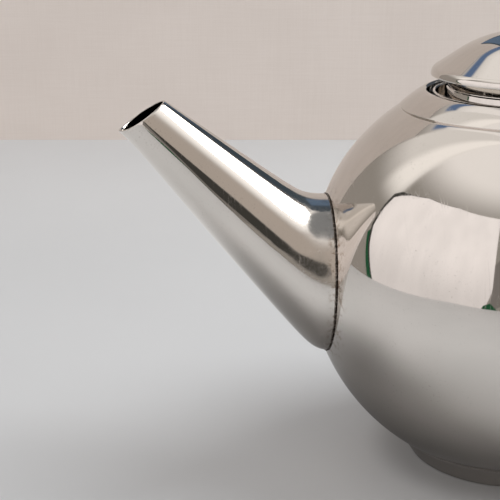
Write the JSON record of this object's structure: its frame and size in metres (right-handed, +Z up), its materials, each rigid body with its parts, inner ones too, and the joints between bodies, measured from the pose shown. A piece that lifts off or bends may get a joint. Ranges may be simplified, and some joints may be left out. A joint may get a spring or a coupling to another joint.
{
  "type": "teapot",
  "caption": "Round polished steel teapot with a long cone spout, ring handle, lift-off domed lid and an infuser basket hanging in the neck.",
  "frame": {"origin": "on the pot's upright axis, at the level of the face it stands on", "axes": "+Z up, spout along -X, handle along +X"},
  "size_m": [0.2876, 0.15, 0.1766],
  "materials": {
    "polished_steel": "mirror-polished stainless steel with fine hairlines",
    "satin_steel": "satin stainless steel",
    "weld_metal": "dark, slightly rough weld bead",
    "black_phenolic": "semi-gloss black phenolic"
  },
  "bodies": {
    "pot": {"body_shell": "polished_steel", "neck_collar": "polished_steel", "neck_gallery": "satin_steel", "foot_ring": "polished_steel", "spout": "polished_steel", "spout_weld_bead": "weld_metal", "handle_grip": "black_phenolic", "upper_handle_socket": "polished_steel", "lower_handle_socket": "polished_steel", "upper_handle_pin": "satin_steel", "lower_handle_pin": "satin_steel"},
    "infuser": {"basket_rim": "polished_steel", "basket_wall": "satin_steel", "basket_floor": "satin_steel"},
    "lid": {"lid_dome": "polished_steel", "lid_flange": "polished_steel", "lid_knob": "black_phenolic", "knob_rosette": "polished_steel", "knob_washer": "satin_steel", "knob_screw": "satin_steel"}
  },
  "joints": [
    {"name": "infuser_lift", "type": "slide", "parent": "pot", "child": "infuser", "axis": [0, 0, 1], "range_m": [0, 0.11]},
    {"name": "lid_lift", "type": "slide", "parent": "infuser", "child": "lid", "axis": [0, 0, 1], "range_m": [0, 0.06]}
  ]
}
